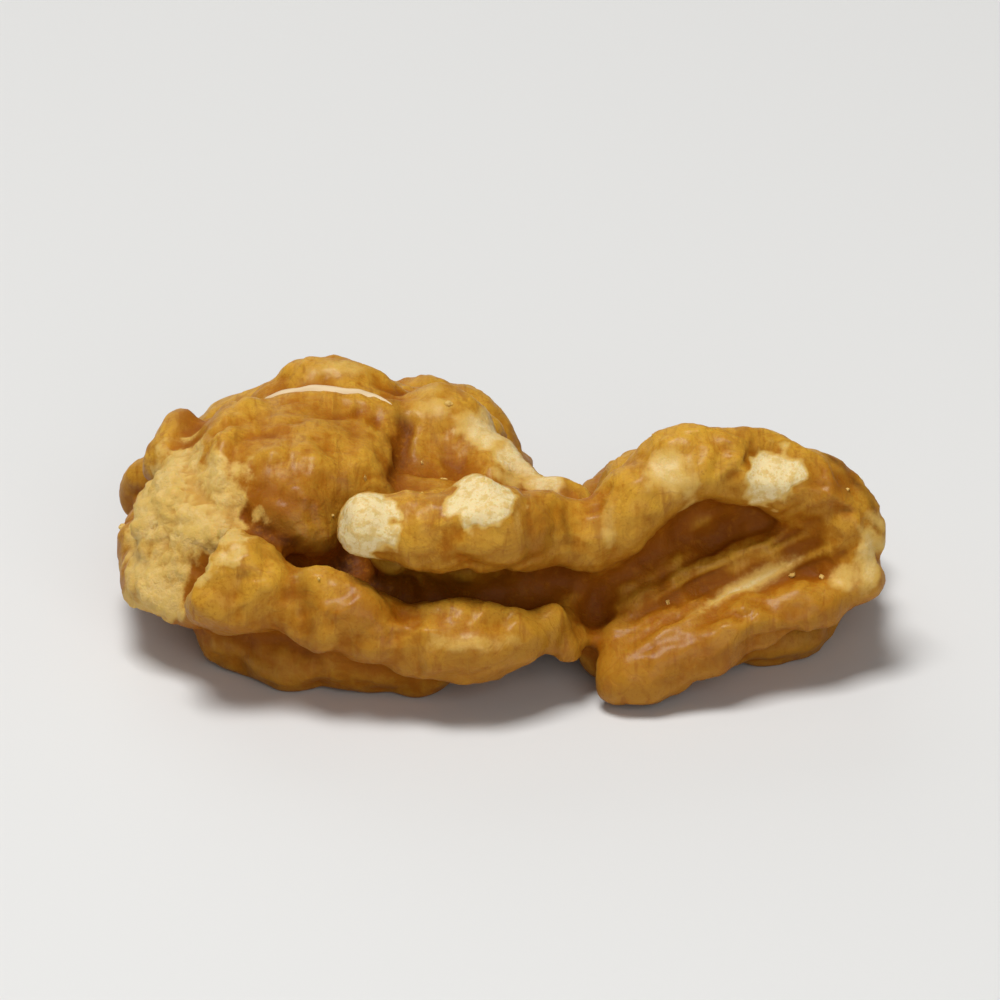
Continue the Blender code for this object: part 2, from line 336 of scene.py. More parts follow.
CREST_FROM, CREST_FULL = 0.15, 0.4  # mm: crests lower than one are left, over the other softened
LINE_MARGIN = 2  # mm around a line where its mask is measured
LINE_ENDS = (0.08, 0.92)  # shares of a line's length where its fading starts and ends


def on_the_skin(way, gap=0.15):
    """Points on the kernel along a way drawn in the picture, this many mm apart."""
    found = []
    for start, end in zip(way, way[1:]):
        start, end = np.array(start), np.array(end)
        steps = max(2, round(np.linalg.norm(end - start) / gap))
        found += [seen_at(*(start + (end - start) * step / steps)) for step in range(steps)]
    return np.array([*found, seen_at(*way[-1])])


def line_mask(way, half_width):
    """1 on the drawn way, fading to 0 beside it and towards its ends."""
    line = on_the_skin(way)
    low, high = line.min(axis=0) - LINE_MARGIN, line.max(axis=0) + LINE_MARGIN
    near = np.all((points > low) & (points < high), axis=1)
    away = np.linalg.norm(points[near][:, None] - line[None], axis=2)
    share = away.argmin(axis=1) / (len(line) - 1)
    ends = np.sin(math.pi * share.clip(*LINE_ENDS)) ** 0.6
    mask = np.zeros(len(points))
    mask[near] = np.exp(-((away.min(axis=1) / half_width) ** 2)) * ends
    return mask


def all_lines(table):
    """The most that this table's drawn lines ask for at each point."""
    masks = [most * line_mask(way, half_width) for way, half_width, most in table.values()]
    return np.max(masks, axis=0)


normals = outward(walnut_mesh, points)
pressed, raised = all_lines(CREASES), all_lines(CRESTS)
# the line of the painted highlight along the lip's crest
lip_highlight_line = line_mask(LIP[1:5], LIP_HIGHLIGHT_WIDTH)
points = step_along(points, normals, blended(raised - pressed, 2))
high_crests = eased(raised, CREST_FROM, CREST_FULL)[:, None]
points = stretched_film(points, high_crests, CREST_ROUNDS)
points = filled(points, BROW, BROW_ROUNDS)
print("creases drawn:", len(CREASES), "crests:", len(CRESTS))

# %% [markdown]
# The skin of a dried kernel is a size too large for it, so it lies in fine puckers that run into
# each other like the lines on a knuckle. A noise's zero line is such a winding thread: where the
# noise is close to zero the skin is pressed in, and a second, larger noise says where the
# puckers are strong and where the skin is tight. Under them the flesh itself is softly lumpy.

# %% puckers in the skin
LINE_DEPTH, WRINKLE_DEPTH, FINE_DEPTH = 0.13, 0.21, 0.05  # mm
LUMP_HEIGHT, KNOB_HEIGHT, GRIT_HEIGHT = 0.11, 0.06, 0.03  # mm
RIB_HEIGHT, SLOPE_HEIGHT = 0.10, 0.05  # mm
BENDING = 0.9  # mm that the places of a noise are pushed about, so that its lines wind


def wander(points, length, seed):
    """Smooth noise from -1 to 1 whose bumps are about this long, in mm."""
    shift = Vector((17.3 * seed, -9.1 * seed, 5.7 * seed))
    return np.array([noise.noise(Vector(place) / length + shift) for place in points])


def wrinkles(points, length, seed):
    """0 on smooth skin, 1 in the deepest lines of a branching net; cells of this length in mm."""
    shift = Vector((5.1 * seed, 13.7 * seed, -8.3 * seed))
    smoothness, lacunarity, octaves, offset, gain = 1.0, 2.1, 3, 1.0, 1.7
    net = [
        noise.ridged_multi_fractal(
            Vector(place) / length + shift, smoothness, lacunarity, octaves, offset, gain
        )
        for place in points
    ]
    return eased(np.array(net), *np.percentile(net, [30, 99.8]))


normals = outward(walnut_mesh, points)
twist = np.stack([wander(points, 2.6, seed) for seed in (11, 12, 13)], axis=1)
bent = points + BENDING * twist
stretched = bent * (0.62, 1.0, 1.0)  # lines run more across the nut than along it
fold_line = np.exp(-((wander(stretched, 3.4, 6) / 0.17) ** 2))
tight = eased(wander(points, 5.0, 3), -0.3, 0.3)
pucker = -LINE_DEPTH * fold_line * (0.3 + 0.7 * tight)
broad_wrinkles = WRINKLE_DEPTH * wrinkles(stretched, 2.3, 1) * (0.4 + 0.6 * tight)
pucker -= broad_wrinkles + FINE_DEPTH * wrinkles(points, 1.1, 2)
pucker = blended(pucker, 1)
knobs = 0.3 - np.abs(wander(points, 0.85, 5))
lumps = LUMP_HEIGHT * wander(bent, 1.7, 4) + KNOB_HEIGHT * knobs
lumps += GRIT_HEIGHT * wander(points, 0.42, 7)
across = wander(bent * (1.7, 0.45, 0.45), 1.5, 9)  # short ribs that run across the folds
lumps += RIB_HEIGHT * (0.3 - np.abs(across)) + SLOPE_HEIGHT * across
print("puckers up to", round(float(-pucker.min()), 3), "mm deep")

# %% [markdown]
# The wing's hollow, between the ridge and the lip, is pleated lengthwise like pressed cloth. The
# pleats are a wave across the hollow, warped by noise, that fades out towards its borders.

# %% pleats in the wing's hollow
PLEAT_FROM, PLEAT_TO = np.array(LIP[0]), np.array(LIP[-1])
PLEATS = ((0.95, 0.11), (0.52, 0.06))  # gap and depth in mm
along = (PLEAT_TO - PLEAT_FROM) / np.linalg.norm(PLEAT_TO - PLEAT_FROM)
offset = np.stack([picture_right, picture_up], axis=1) - PLEAT_FROM
length_way = offset @ along
cross_way = offset @ np.array((-along[1], along[0]))
# The pleats fade out at the hollow's ends, at its sides, where it turns away and further back.
in_hollow = eased(length_way, -1.5, 0.8) * eased(length_way, 10.2, 8.2)
in_hollow *= eased(cross_way, -1.0, -0.2) * eased(cross_way, 3.2, 2.0)
in_hollow *= eased(towards_us, 0.1, 0.45) * eased(points[:, 1], -4.5, -6.0)
bend = 0.5 * wander(points, 2.8, 8)
waves = [(np.sin(2 * math.pi * (cross_way / gap + bend)), deep) for gap, deep in PLEATS]
pleats = -in_hollow * sum(deep * (0.5 + 0.5 * wave) ** 2 for wave, deep in waves)
print("points in the hollow:", int((in_hollow > 0.5).sum()))

# %% [markdown]
# Where a kernel is rubbed, the skin wears through and the cream flesh shows. Here that is at the
# finger, which is the front ridge's free tip, at round spots along the ridge, at the wing's end
# and lip, and at the thin edge of the bump. The wing's end and corner and the lip's crest are
# partly painted highlights, and the three shines and the two streaks are painted highlights, all
# laid on as paler half-worn skin. The left side was broken off and shows coarse flesh.
# A noise frays each border, and the flesh lies a skin's thickness lower. Three more spots behind
# are a guess.

# %% rubbed spots, painted highlights and the broken side
# the shines and the streaks are painted highlights, and the wing's end and corner are partly so
SEEN_RUBBED_AND_HIGHLIGHTS = {  # right and up in the picture, half width and half height in mm, how bare
    "finger tip": (-5.9, 3.1, 1.25, 1.75, 1.0),
    "ridge spot": (-0.55, 4.25, 1.35, 1.35, 1.0),
    "ridge patch": (7.6, 5.3, 1.0, 1.2, 0.56),
    "right spot": (12.1, 5.05, 1.2, 1.2, 1.0),
    "wing's end": (16.35, 1.6, 0.6, 1.5, 0.60),
    "wing's corner": (15.4, 0.6, 0.9, 0.5, 0.46),
    "bump's side": (-0.5, 7.2, 1.2, 0.8, 0.66),
    "thin edge": (0.8, 5.9, 0.9, 1.0, 0.72),
    "edge's end": (2.0, 4.9, 0.9, 0.5, 0.7),
    "arch's streak": (4.7, 2.9, 0.4, 1.0, 0.36),
    "finger's streak": (0.9, 3.4, 0.3, 1.0, 0.34),
    "rim's shine": (-1.2, -2.2, 2.0, 0.5, 0.34),
    "crown's shine": (-7.0, 9.9, 1.6, 0.4, 0.36),
    "bump's shine": (-3.2, 8.2, 1.0, 0.7, 0.36),
}
GUESSED_RUBBED = {  # a point near the place in mm, half width in mm, how bare
    "back fold": ((3.2, 10.6, 5.4), 1.3, 0.58),
    "back left": ((-13.2, 6.6, 5.6), 1.2, 0.62),
    "back right": ((14.0, 3.4, 5.6), 1.0, 0.66),
}
SEEN_BROKEN = {  # as in SEEN_RUBBED_AND_HIGHLIGHTS
    "broken side": (-14.1, 3.5, 2.5, 2.7, 0.80),
    "broken foot": (-15.2, 0.4, 1.3, 1.9, 0.74),
}
SKIN = 0.08  # mm thick
BROKEN_GRAIN, RUBBED_GRAIN = 0.46, 0.06  # mm, how coarse the bare flesh is
# how strong the painted highlight along the lip's crest is
LIP_HIGHLIGHT_STRENGTH = 0.70

top_share = np.clip((pucker - pucker.mean() + lumps) / 0.12, -1, 1)  # tops are rubbed first


def frayed(near, reach, seed, border):
    """1 where reach, the share of the half width, is under 1, with a frayed border."""
    local = points[near]
    edge = 1 + 0.42 * wander(local, 1.2, seed) + 0.20 * wander(local, 0.45, seed + 1)
    return eased(edge + 0.30 * top_share[near] - reach[near], -border, border)


def seen_patch(right, up, half_width, half_height, bareness, seed):
    """A worn place, broken flesh or painted highlight at this place of the picture, facing us."""
    away = points - seen_at(right, up)
    reach = np.hypot((picture_right - right) / half_width, (picture_up - up) / half_height)
    near = (np.abs(away @ INTO) < 1.6 * max(half_width, half_height)) & (reach < 2.2)
    mask = np.zeros(len(points))
    border = 0.30 + 0.9 * (1 - bareness)  # the less bare, the softer
    mask[near] = frayed(near, reach, seed, border) * eased(towards_us[near], -0.15, 0.1)
    return bareness * mask


def near_patch(spot, half_width, bareness, seed):
    """A worn place on whichever fold is nearest to this point."""
    middle = np.array(skin_faces.find_nearest(Vector(spot) * MM)[0]) / MM
    reach = np.linalg.norm(points - middle, axis=1) / half_width
    near = reach < 1.8
    mask = np.zeros(len(points))
    mask[near] = frayed(near, reach, seed, 0.5)
    return bareness * mask


def all_patches(table, first_seed, patch):
    """The barest of this table's patches at each point."""
    masks = [patch(*row, first_seed + 2 * i) for i, row in enumerate(table.values())]
    return np.max(masks, axis=0)


# rubbed spots and painted highlights seen in front
rubbed_and_highlights_in_front = all_patches(SEEN_RUBBED_AND_HIGHLIGHTS, 20, seen_patch)
rubbed_behind = all_patches(GUESSED_RUBBED, 50, near_patch)
# painted highlight along the lip's crest, laid on as half-worn skin
lip_highlight = LIP_HIGHLIGHT_STRENGTH * lip_highlight_line * eased(wander(points, 1.4, 72), -0.5, -0.1)
# worn places together with the painted highlights
worn_and_highlights = np.maximum(np.maximum(rubbed_and_highlights_in_front, rubbed_behind), lip_highlight)
broken = all_patches(SEEN_BROKEN, 60, seen_patch)
bare_and_highlights = np.maximum(worn_and_highlights, broken)
crumble = np.abs(wander(points, 0.9, 70)) + 0.8 * np.abs(wander(points, 0.42, 71))
amount = (1 - 0.85 * bare_and_highlights) * (pucker + lumps) - SKIN * eased(bare_and_highlights, 0.3, 0.7) + pleats
amount += (BROKEN_GRAIN * broken + RUBBED_GRAIN * worn_and_highlights) * (crumble - 0.3)
print("share of the skin that is worn or broken off:", round(float(bare_and_highlights.mean()), 3))

# %% [markdown]
# The skin isn't one colour all over: it is browner where oil has darkened it, and darker still in
# the deepest creases, partly as painted shade. Several stains, on the low sides, behind the
# finger, between the rim's bumps and in the dips, are painted shade too. The dark lines are
# painted shadow under the torn skin, the dome and the finger, and painted shade in creases. The
# larger of those stains and lines are placed as the marks are.

# %% darker stains, painted shade and painted shadow lines
STAINS_AND_SHADE = {  # right and up in the picture, half width and half height in mm, how strong
    "dome's low side": (-9.6, 3.9, 3.0, 1.7, 1.0),
    "dome's shoulder": (-8.0, 7.2, 2.0, 1.0, 0.45),
    "behind the finger": (-4.1, 5.4, 1.1, 1.0, 0.7),
    "between rim's bumps": (-6.4, -0.8, 1.9, 1.5, 0.75),
    "ridge's first dip": (1.6, 2.6, 1.0, 2.2, 0.6),
    "wing's shoulder": (14.8, 4.7, 1.6, 1.3, 0.75),
    "wing's low side": (13.5, -0.8, 2.4, 0.8, 0.5),
    "lip's outer wall": (9.6, -2.9, 3.2, 1.1, 0.5),
    "rim's second bump": (-6.2, 0.4, 1.5, 0.9, 0.5),
    "left knob": (-13.6, 7.6, 0.9, 1.1, 0.8),
}
# painted shadow under the torn skin, the dome and the finger, painted shade in creases, and a dark
# line along the wing's edge
DARK_LINES = {  # way through the picture in mm, half width, how strong
    "under the torn skin": ([(-9.4, 8.3), (-7.4, 8.2), (-5.6, 8.05), (-4.6, 7.6)], 0.24, 0.75),
    "dome's right side": ([(-4.7, 8.3), (-4.2, 7.2), (-4.3, 6.0), (-4.9, 4.6)], 0.34, 0.85),
    "under the dome": ([(-11.4, 3.5), (-10.3, 2.9), (-9.2, 2.3), (-7.6, 1.8)], 0.55, 0.9),
    "under the finger": ([(-7.8, 1.7), (-6.4, 0.9), (-4.8, 0.3)], 0.75, 0.9),
    "wing's edge": ([(13.6, 6.5), (15.2, 5.5), (16.2, 4.3), (16.8, 2.6)], 0.26, 0.75),
    "ridge's dark line": ([(3.0, 4.6), (2.9, 3.2), (3.2, 1.6)], 0.24, 0.4),
    "finger's dark line": ([(1.2, 4.4), (1.5, 3.0), (1.2, 1.3)], 0.26, 0.4),
    "rim's dark line": ([(-8.9, 1.2), (-8.7, -0.8), (-8.4, -2.8)], 0.45, 0.5),
}


def stained_and_shaded(right, up, half_width, half_height, strength):
    """A soft darker place at this place of the picture, on the folds that are near to it."""
    reach = np.hypot((picture_right - right) / half_width, (picture_up - up) / half_height)
    behind = np.abs((points - seen_at(right, up)) @ INTO)
    return strength * np.exp(-(reach**2)) * eased(behind, 4.5, 2.0)


stain_and_shade = np.max([stained_and_shaded(*row) for row in STAINS_AND_SHADE.values()], axis=0)
stain_and_shade = np.clip(stain_and_shade * (1 + 0.9 * wander(points, 1.3, 80)), 0, 1)
dark = np.clip(all_lines(DARK_LINES) * (1 + 0.8 * wander(points, 0.9, 81)), 0, 1)
print("stained share:", round(float((stain_and_shade > 0.3).mean()), 3))

# %% [markdown]
# The kernel stands on ten small flats. The brushes leave those alone, and nothing goes below the
# floor or out of the solid's own box.

# %% keep the feet and the size
FADE_HIGH, FADE_LOW = 0.5, 0.1  # mm above the floor: the brushes fade out between these heights
ON_THE_FLOOR = 0.02  # mm: points of the solid lower than this keep their height
foot = eased(points[:, 2], FADE_HIGH, FADE_LOW)
points = step_along(points, normals, amount * (1 - foot))
low, high = (np.array(corner) / MM for corner in cad_box)
points = np.clip(points, low, high)
points[:, 2] = np.where(raw[:, 2] < ON_THE_FLOOR, raw[:, 2].clip(0), points[:, 2])
normals = outward(walnut_mesh, points)
for face in walnut_mesh.polygons:
    face.use_smooth = True
print("kernel's triangles:", sum(len(face.vertices) - 2 for face in walnut_mesh.polygons))
print("kernel's box, mm:", points.min(axis=0).round(2), points.max(axis=0).round(2))

# %% [markdown]
# The finish needs to know the form: the skin is painted darkest in the creases and palest on the
# tops, partly its own colour and partly painted shade and light. Each point's height above the
# blended form is measured at two widths and kept on the mesh as a named attribute, beside the
# masks of the worn places, the painted highlights, the stains and the painted shade.

# %% what the finish reads from the form
RELIEF_WIDTH, DEPTH_WIDTH = 0.55, 1.7  # mm
MOST_RELIEF, MOST_DEPTH = 0.16, 0.9  # mm
LONG_STEP = 0.9  # a larger share of the way at each step, so that fewer steps reach as far


def keep(name, values):
    """Store the values on the mesh, one for each point, under this name."""
    attribute = walnut_mesh.attributes.new(name, "FLOAT", "POINT")
    attribute.data.foreach_set("value", values.astype(np.float32))


relief = ((points - blended(points, rounds_for(RELIEF_WIDTH))) * normals).sum(axis=1)
wide_form = blended(points, rounds_for(DEPTH_WIDTH, LONG_STEP), LONG_STEP)
depth = ((points - wide_form) * normals).sum(axis=1)
facing_down, low_down = eased(-normals[:, 2], -0.3, 0.8), eased(points[:, 2], 7.5, 2.0)
keep("relief", np.clip(relief / MOST_RELIEF, -1, 1))
keep("depth", blended(np.clip(depth / MOST_DEPTH, -1, 1), 4))
# painted shade: the skin is darker where it faces down and where it lies low
keep("under", np.maximum(facing_down, 0.8 * low_down))
# oil stains, and painted shade on the low sides, behind the finger and in the dips
keep("stain_and_shade", stain_and_shade)
# painted shadow and shade along the drawn dark lines
keep("dark", dark)
# worn places and painted highlights
keep("worn_and_highlights", worn_and_highlights)
keep("broken", broken)
for name, values in {"relief": relief, "depth": depth}.items():
    print(name, "in mm, low, middle and high:", np.percentile(values, [2, 50, 98]).round(3))

# %% [markdown]
# Along the dome's upper edge the skin has come loose, and its torn edge stands up as a pale paper
# line. It is a ribbon: a narrow grid whose lower side lies a little inside the kernel and whose
# upper side waves, with a thickness from Solidify.

# %% the torn edge of the skin
EDGE_HEIGHT, EDGE_SUNK, EDGE_THICK, EDGE_CURL = 0.24, 0.30, 0.07, 0.10  # mm
EDGE_ABOVE, EDGE_GAP = 0.55, 0.12  # mm above the drawn edge, and between two stations
EDGE_ROUNDS = 6
dressed_faces = faces_of(walnut_mesh)
edge_way = on_the_skin(DOME_EDGE[1:6], EDGE_GAP)
edge_places = [Vector(place + EDGE_ABOVE * UP) * MM for place in edge_way]
snapped = [dressed_faces.find_nearest(place)[:2] for place in edge_places]
edge_line = np.array([spot for spot, _ in snapped]) / MM
edge_out = np.array([normal for _, normal in snapped])
for _ in range(EDGE_ROUNDS):
    for rows in (edge_line, edge_out):
        rows[1:-1] = 0.5 * rows[1:-1] + 0.25 * (rows[:-2] + rows[2:])
edge_up = edge_out + 0.5 * UP + 0.4 * INTO
edge_up /= np.linalg.norm(edge_up, axis=1)[:, None]

LEVELS = 5
ribbon = bmesh.new()
bmesh.ops.create_grid(ribbon, x_segments=len(edge_line) - 1, y_segments=LEVELS - 1, size=0.5)
ribbon.verts.ensure_lookup_table()
by_place = sorted(ribbon.verts, key=lambda vert: (round(vert.co.x, 5), round(vert.co.y, 5)))
for number, vert in enumerate(by_place):
    station, level = divmod(number, LEVELS)
    share = station / (len(edge_line) - 1)
    here = Vector(edge_line[station])
    uneven, wavy = noise.noise(here / 0.9), noise.noise(here / 1.3 + Vector((7, 0, 0)))
    tall = EDGE_HEIGHT * math.sin(math.pi * share) ** 0.5 * (1 + 0.45 * uneven)
    rise = -EDGE_SUNK + (tall + EDGE_SUNK) * level / (LEVELS - 1)
    curl = EDGE_CURL * (level / (LEVELS - 1)) ** 2 * (1 + 2 * wavy)
    vert.co = (here + rise * Vector(edge_up[station]) + curl * Vector(INTO)) * MM
ribbon_mesh = bpy.data.meshes.new("skin_edge")
ribbon.to_mesh(ribbon_mesh)
ribbon.free()
skin_edge = new_piece("skin_edge", ribbon_mesh)
paper = skin_edge.modifiers.new("paper", "SOLIDIFY")
paper.thickness = EDGE_THICK * MM
paper.offset = 0.0
ribbon_mesh = finished(skin_edge)
for face in ribbon_mesh.polygons:
    face.use_smooth = True
edge_steps = np.linalg.norm(np.diff(edge_line, axis=0), axis=1)
print("torn edge, mm long:", round(float(edge_steps.sum()), 1))

# %% [markdown]
# A shelled kernel carries dust: small bits of flesh and skin that stick to it. Each crumb is a
# small icosphere dented by noise, sunk a little into an upward face that a fixed seed picks.

# %% crumbs
CRUMBS, CRUMB_SIZE = 46, (0.07, 0.17)  # how many, and their half widths in mm
UPWARD = 0.35  # a crumb lies where the upward part of the skin's direction is more than this
dice = np.random.default_rng(7)
upward = np.flatnonzero(normals[:, 2] > UPWARD)
dust = bmesh.new()
for place in points[dice.choice(upward, CRUMBS)]:
    half_width = dice.uniform(*CRUMB_SIZE)
    stretch = dice.uniform(0.4, 1.4, 3)
    crumb = bmesh.ops.create_icosphere(dust, subdivisions=2, radius=1.0)["verts"]
    for vert in crumb:
        dent = 1 + 0.70 * noise.noise(vert.co * 1.4 + Vector(place))
        vert.co = Vector((place + np.array(vert.co) * stretch * half_width * dent) * MM)
crumb_mesh = bpy.data.meshes.new("crumbs")
dust.to_mesh(crumb_mesh)
dust.free()
crumbs = new_piece("crumbs", crumb_mesh)
print("crumbs:", CRUMBS, "faces:", len(crumb_mesh.polygons))

# %% [markdown]
# A material is a network of nodes. Written out one node at a time, it is hard to read, so a small
# class wraps a node's output and lets Python's own signs add the Math nodes: `1 - mask` is one.

# %% a wire that can be calculated with
class Wire:
    """The output of one node in a material."""

    def __init__(self, socket):
        self.socket = socket
        self.tree = socket.id_data

    def node(self, kind, settings, values, output=0):
        """A new node of that type: its settings first, then its sockets' values or links."""
        made = self.tree.nodes.new(kind)
        for name, value in settings.items():
            setattr(made, name, value)
        for name, value in values.items():
            if isinstance(value, Wire):
                self.tree.links.new(value.socket, made.inputs[name])
            else:
                made.inputs[name].default_value = value
        return Wire(made.outputs[output])

    def math(self, operation, *others):
        values = dict(enumerate((self, *others)))
        return self.node("ShaderNodeMath", {"operation": operation}, values)

    def __add__(self, other):
        return self.math("ADD", other)

    __radd__ = __add__

    def __mul__(self, other):
        return self.math("MULTIPLY", other)

    __rmul__ = __mul__

    def __sub__(self, other):
        return self.math("SUBTRACT", other)

    def __rsub__(self, other):
        return self.math("MULTIPLY_ADD", -1.0, other)

    def __abs__(self):
        return self.math("ABSOLUTE")

    def step(self, low, high):
        """0 below low, 1 above high, soft between."""
        return self.node(
            "ShaderNodeMapRange",
            {"interpolation_type": "SMOOTHSTEP"},
            {"Value": self, "From Min": low, "From Max": high, "To Min": 0.0, "To Max": 1.0},
        )

    def mix(self, first, second):
        """The first colour where this wire is 0 and the second where it is 1."""
        first, second = (c if isinstance(c, Wire) else (*c, 1.0) for c in (first, second))
        return self.node("ShaderNodeMix", {"data_type": "RGBA"}, {0: self, 6: first, 7: second}, 2)


def new_finish(name, settings):
    """A material whose shader has these settings, and the shader."""
    finish = bpy.data.materials.new(name)
    finish.use_nodes = True
    shader = next(node for node in finish.node_tree.nodes if node.type == "BSDF_PRINCIPLED")
    for socket, value in settings.items():
        shader.inputs[socket].default_value = value
    return finish, shader


# %% [markdown]
# The skin is amber with gold on the tops and red-brown in the creases, partly its own colour and
# partly painted light and shade. It is also painted darker as shade on its undersides and low
# down.
# Mottling at several scales, thin winding threads and short veins across the ridge break it up.
# The flesh under it is cream, yellower on the broken side and painted darker as shade in that
# side's pits. A brown line rims each worn place, and half-worn honey skin is also laid on as
# painted highlights. Each colour is laid over the last one like a glaze, with a mask that says
# where.

# %% the wires that the colours are made of
SKIN_SETTINGS = {
    "Subsurface Weight": 0.20,
    "Subsurface Radius": (1.0, 0.45, 0.18),
    "Subsurface Scale": 0.6 * MM,
    "Specular IOR Level": 0.10,
    "Coat Roughness": 0.26,
}
skin_finish, shader = new_finish("walnut_skin", SKIN_SETTINGS)
tree = skin_finish.node_tree
place = Wire(tree.nodes.new("ShaderNodeTexCoord").outputs["Object"])


def attribute(name):
    """The values that were kept on the mesh under this name."""
    node = tree.nodes.new("ShaderNodeAttribute")
    node.attribute_name = name
    return Wire(node.outputs["Fac"])


def mottle(length, detail=3.0, roughness=0.55, distortion=0.0, where=place):
    """Noise from 0 to 1 with spots of about this length in mm."""
    values = {"Vector": where, "Scale": 1 / (length * MM), "Detail": detail}
    values |= {"Roughness": roughness, "Distortion": distortion}
    return place.node("ShaderNodeTexNoise", {}, values)


relief_wire, depth_wire = attribute("relief"), attribute("depth")
worn_and_highlight_wire, broken_wire = attribute("worn_and_highlights"), attribute("broken")
# painted shade and shadow ride on these wires: the undersides, several stains and the dark lines
stain_and_shade_wire, under_shade_wire, dark_wire = attribute("stain_and_shade"), attribute("under"), attribute("dark")
large, small = mottle(5.0, 2.0), mottle(0.95, 4.0, 0.6)
pores, grain = mottle(0.38, 3.0, 0.6), mottle(0.13, 2.0, 0.6)
thread = abs(mottle(1.5, 3.0, 0.55, 0.8) - 0.5).step(0.06, 0.0)
ACROSS = (2.6, 0.6, 0.6)  # noise on places narrowed like this makes short veins across the ridge
narrowed = place.node("ShaderNodeVectorMath", {"operation": "MULTIPLY"}, {0: place, 1: ACROSS})
streaks = mottle(1.5, 3.0, 0.6, 0.4, narrowed)

# paler on the tops and darker in the creases by relief and depth, painted light and shade in part,
# beside random mottling
tone = 0.5 * relief_wire + 0.4 * depth_wire + 1.6 * (large - 0.5)
tone = tone + 1.6 * (small - 0.5) + 1.1 * (pores - 0.5) + 1.9 * (streaks - 0.5)
patches = mottle(1.7, 4.0, 0.62, 0.5).step(0.50, 0.68) * large.step(0.62, 0.40)
# painted shade in part: darker where the skin lies low in the creases
shade = (-0.8 * depth_wire - 0.6 * relief_wire + 0.5 * (small - 0.5)).step(0.05, 0.8)
# painted shade in part: darkest in the deepest creases
deepest_shade = (-0.75 * depth_wire - 0.35 * relief_wire + 0.4 * (small - 0.5)).step(0.35, 1.35)
fray = 0.36 * (small - 0.5) + 0.26 * (pores - 0.5) + 0.12 * (grain - 0.5)
# bare skin, with the painted highlights among it
bare_and_highlight_wire = worn_and_highlight_wire.math("MAXIMUM", broken_wire) + fray * (1 + 1.1 * broken_wire)
# cream flesh where bare; the barest painted highlights, on the lip and the wing's end, reach it
# too
flesh = bare_and_highlight_wire.step(0.42, 0.80)
yellower = (0.9 * broken_wire + 1.3 * (small - 0.5)).step(0.1, 0.9)
# painted shade: the broken side is darker in its pits
pit_shade = broken_wire * (-0.9 * relief_wire + 0.9 * (small - 0.5)).step(0.0, 0.8)
print("wires made, nodes so far:", len(tree.nodes))

# %% the skin's colours
GOLD, AMBER = (0.58, 0.305, 0.026), (0.38, 0.130, 0.004)
RUSSET, CREASE, UMBER = (0.27, 0.078, 0.002), (0.20, 0.050, 0.002), (0.085, 0.021, 0.001)
CREAM, YOLK, HONEY = (0.76, 0.61, 0.32), (0.62, 0.40, 0.10), (0.66, 0.42, 0.10)
RIM, PIT_SHADE = (0.30, 0.10, 0.006), (0.44, 0.20, 0.025)


def glazed(colour, glazes):
    """The colour with each glaze over it: where it lies, how strong it is, and its colour."""
    for where, strength, glaze in glazes:
        colour = (strength * where).mix(colour, glaze)
    return colour


SKIN_GLAZES = [
    (patches, 0.5, RUSSET),
    # oil stains, and painted shade on the low sides and in the dips
    (stain_and_shade_wire, 0.85, RUSSET),
    # the creases darkened, painted shade in part
    (shade, 1.0, RUSSET),
    # painted shade on the undersides and low down
    (under_shade_wire, 0.70, RUSSET),
    # the deepest creases darkened, painted shade in part
    (deepest_shade, 1.0, CREASE),
    # painted shadow and shade along the dark lines
    (dark_wire * (0.7 + 0.6 * small), 1.0, UMBER),
    (thread, 0.22, RUSSET),
    (streaks.step(0.54, 0.68), 0.50, RUSSET),
    (pores.step(0.54, 0.70), 0.40, AMBER),
    (grain.step(0.56, 0.72), 0.35, RUSSET),
    (bare_and_highlight_wire.step(0.05, 0.25), 0.22, RIM),
    # honey on half-worn skin, and the painted highlights
    (bare_and_highlight_wire.step(0.16, 0.50), 0.85, HONEY),
]
FLESH_GLAZES = [
    (pores.step(0.46, 0.64), 0.7, YOLK),
    (grain.step(0.56, 0.68), 0.6, HONEY),
    # painted shade in the broken side's pits
    (pit_shade, 0.8, PIT_SHADE),
]
skin_colour = glazed(tone.step(-0.6, 0.7).mix(AMBER, GOLD), SKIN_GLAZES)
flesh_colour = glazed(yellower.mix(CREAM, YOLK), FLESH_GLAZES)
colour = flesh.mix(skin_colour, flesh_colour)
tree.links.new(colour.socket, shader.inputs["Base Color"])
print("glazes:", len(SKIN_GLAZES) + len(FLESH_GLAZES))

# %% the skin's shine and its finest relief
roughness = 0.36 + 0.22 * small + 0.14 * pores + 0.14 * flesh
tree.links.new(roughness.socket, shader.inputs["Roughness"])
coat = 0.18 * (tone.step(-0.3, 0.5) * (1 - 0.6 * flesh))  # the oil's shine, on the tops only
tree.links.new(coat.socket, shader.inputs["Coat Weight"])
fine_relief = 0.065 * small + 0.042 * pores + 0.012 * grain - 0.008 * thread  # mm
fine_relief = fine_relief + flesh * (0.03 * pores + 0.014 * grain)
bump = place.node("ShaderNodeBump", {}, {"Strength": 1.0, "Distance": MM, "Height": fine_relief})
tree.links.new(bump.socket, shader.inputs["Normal"])
walnut_mesh.materials.clear()
walnut_mesh.materials.append(skin_finish)
print("nodes in the skin's finish:", len(tree.nodes))

# %% the torn edge's paper and the crumbs' flesh
PAPER = {"Base Color": (0.72, 0.55, 0.33, 1.0), "Roughness": 0.55, "Specular IOR Level": 0.3}
CRUMB = {"Base Color": (*HONEY, 1.0), "Roughness": 0.6}
ribbon_mesh.materials.append(new_finish("skin_paper", PAPER)[0])
crumb_mesh.materials.append(new_finish("crumb_flesh", CRUMB)[0])
print("paper's colour:", PAPER["Base Color"][:3], "crumbs' colour:", HONEY)

# %% [markdown]
# The floor is one wide pale sheet. Light comes from large soft panels, as in a photographer's
# tent: the main one above, weaker ones in front and behind, and a pale room around them.

